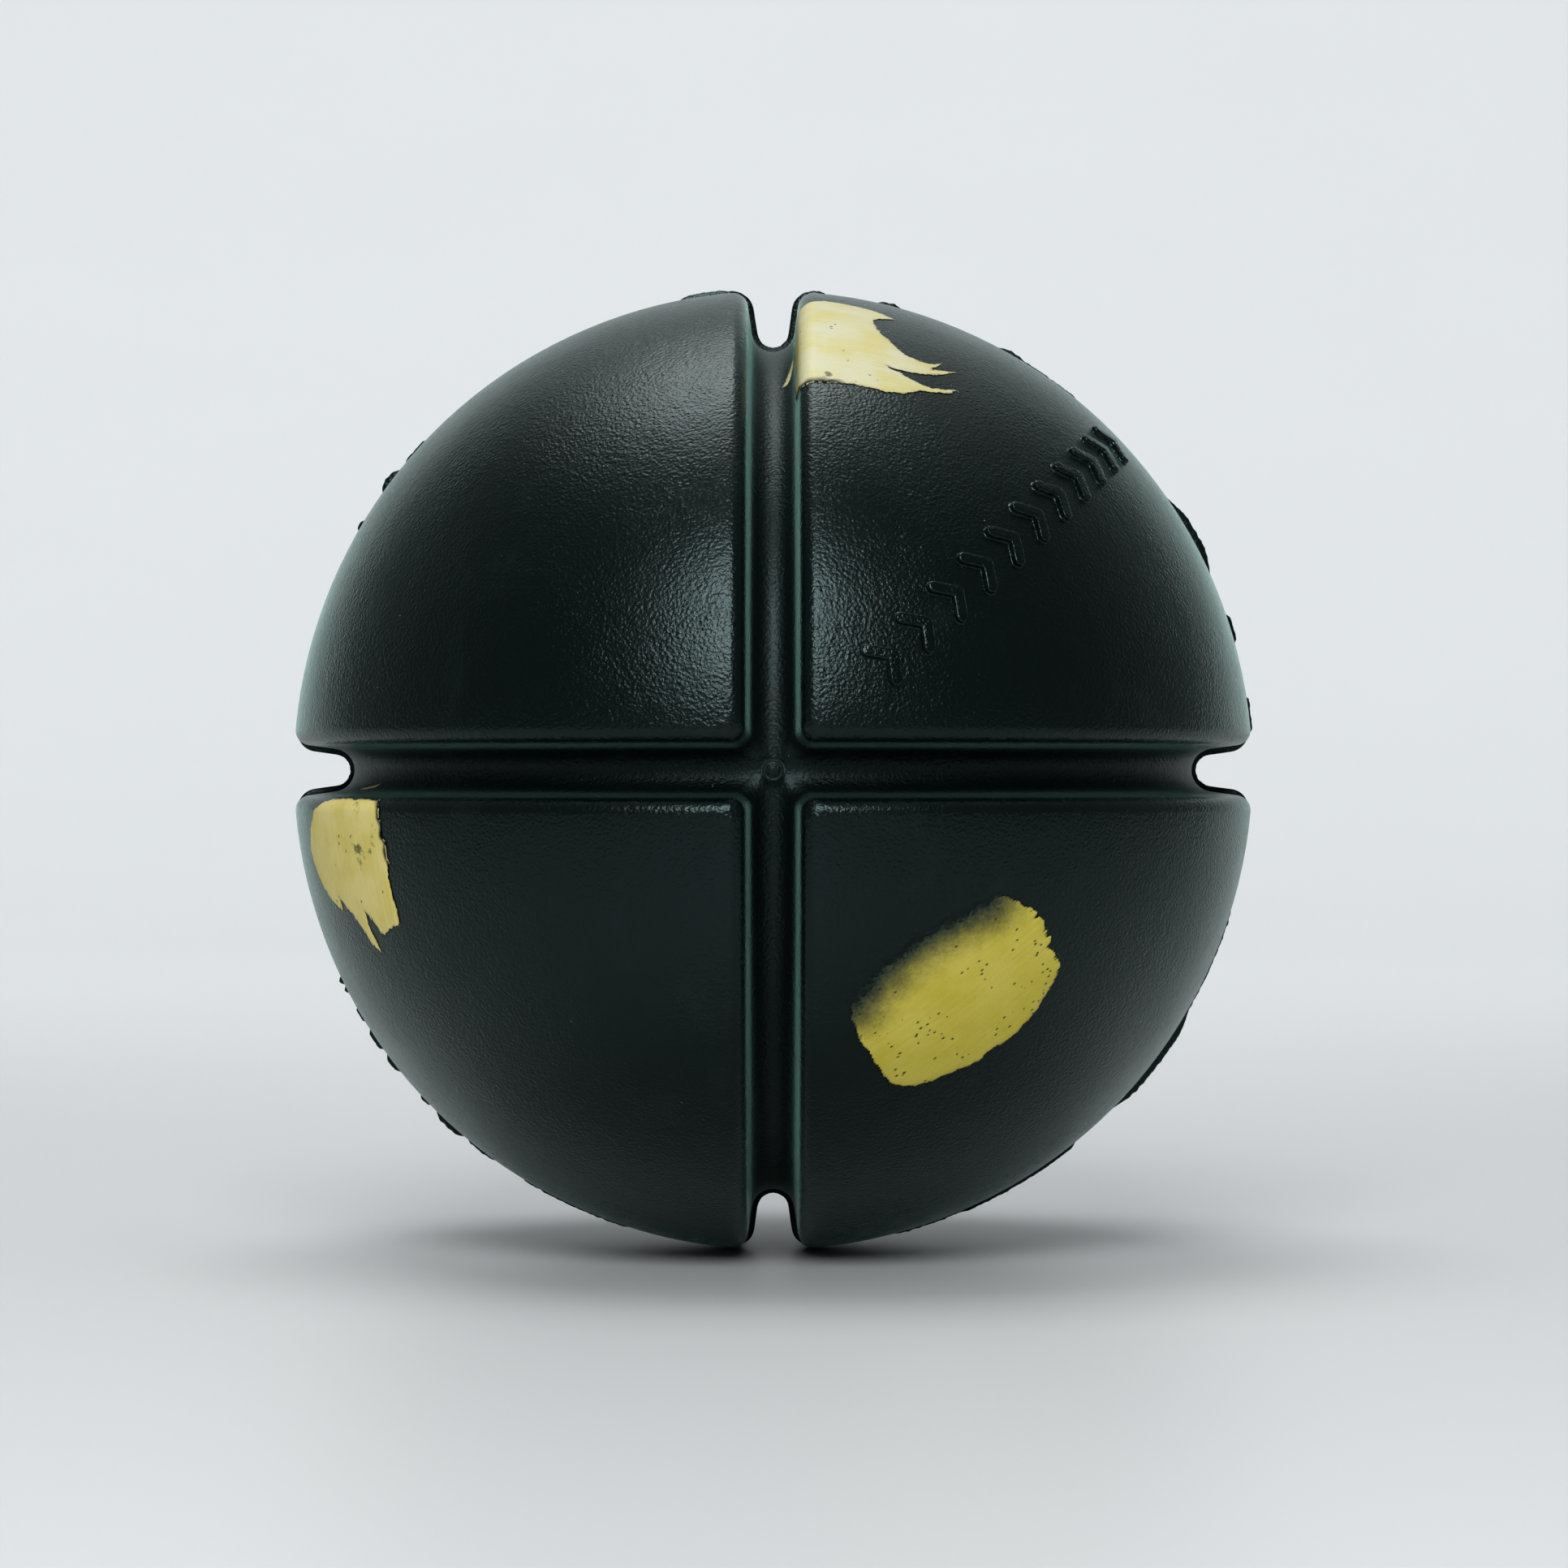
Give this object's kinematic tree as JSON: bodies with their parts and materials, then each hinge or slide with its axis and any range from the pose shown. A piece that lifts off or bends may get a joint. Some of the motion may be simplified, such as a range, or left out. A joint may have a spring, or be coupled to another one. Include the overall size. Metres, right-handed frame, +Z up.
{
  "type": "grooved rubber ball",
  "caption": "Solid black rubber ball with deep crossing grooves around it, a contrasting inner core, a raised row of chevrons and brushed daubs of yellow paint.",
  "frame": {"origin": "centre of the ball", "axes": "+Z up, Y through the two points where the grooves cross, and X across the upright groove; the row of chevrons and the paint are on the -Y side"},
  "size_m": [0.0768, 0.0758, 0.0768],
  "materials": {
    "cover_rubber": "satin, with a fine leathery mould grain",
    "core_rubber": "matt",
    "yellow_paint": "dry brushed acrylic, matt"
  },
  "bodies": {
    "root": {"cover": "cover_rubber", "core": "core_rubber", "paint_daub_upper": "yellow_paint", "paint_daub_left": "yellow_paint", "paint_daub_lower": "yellow_paint"}
  },
  "joints": []
}
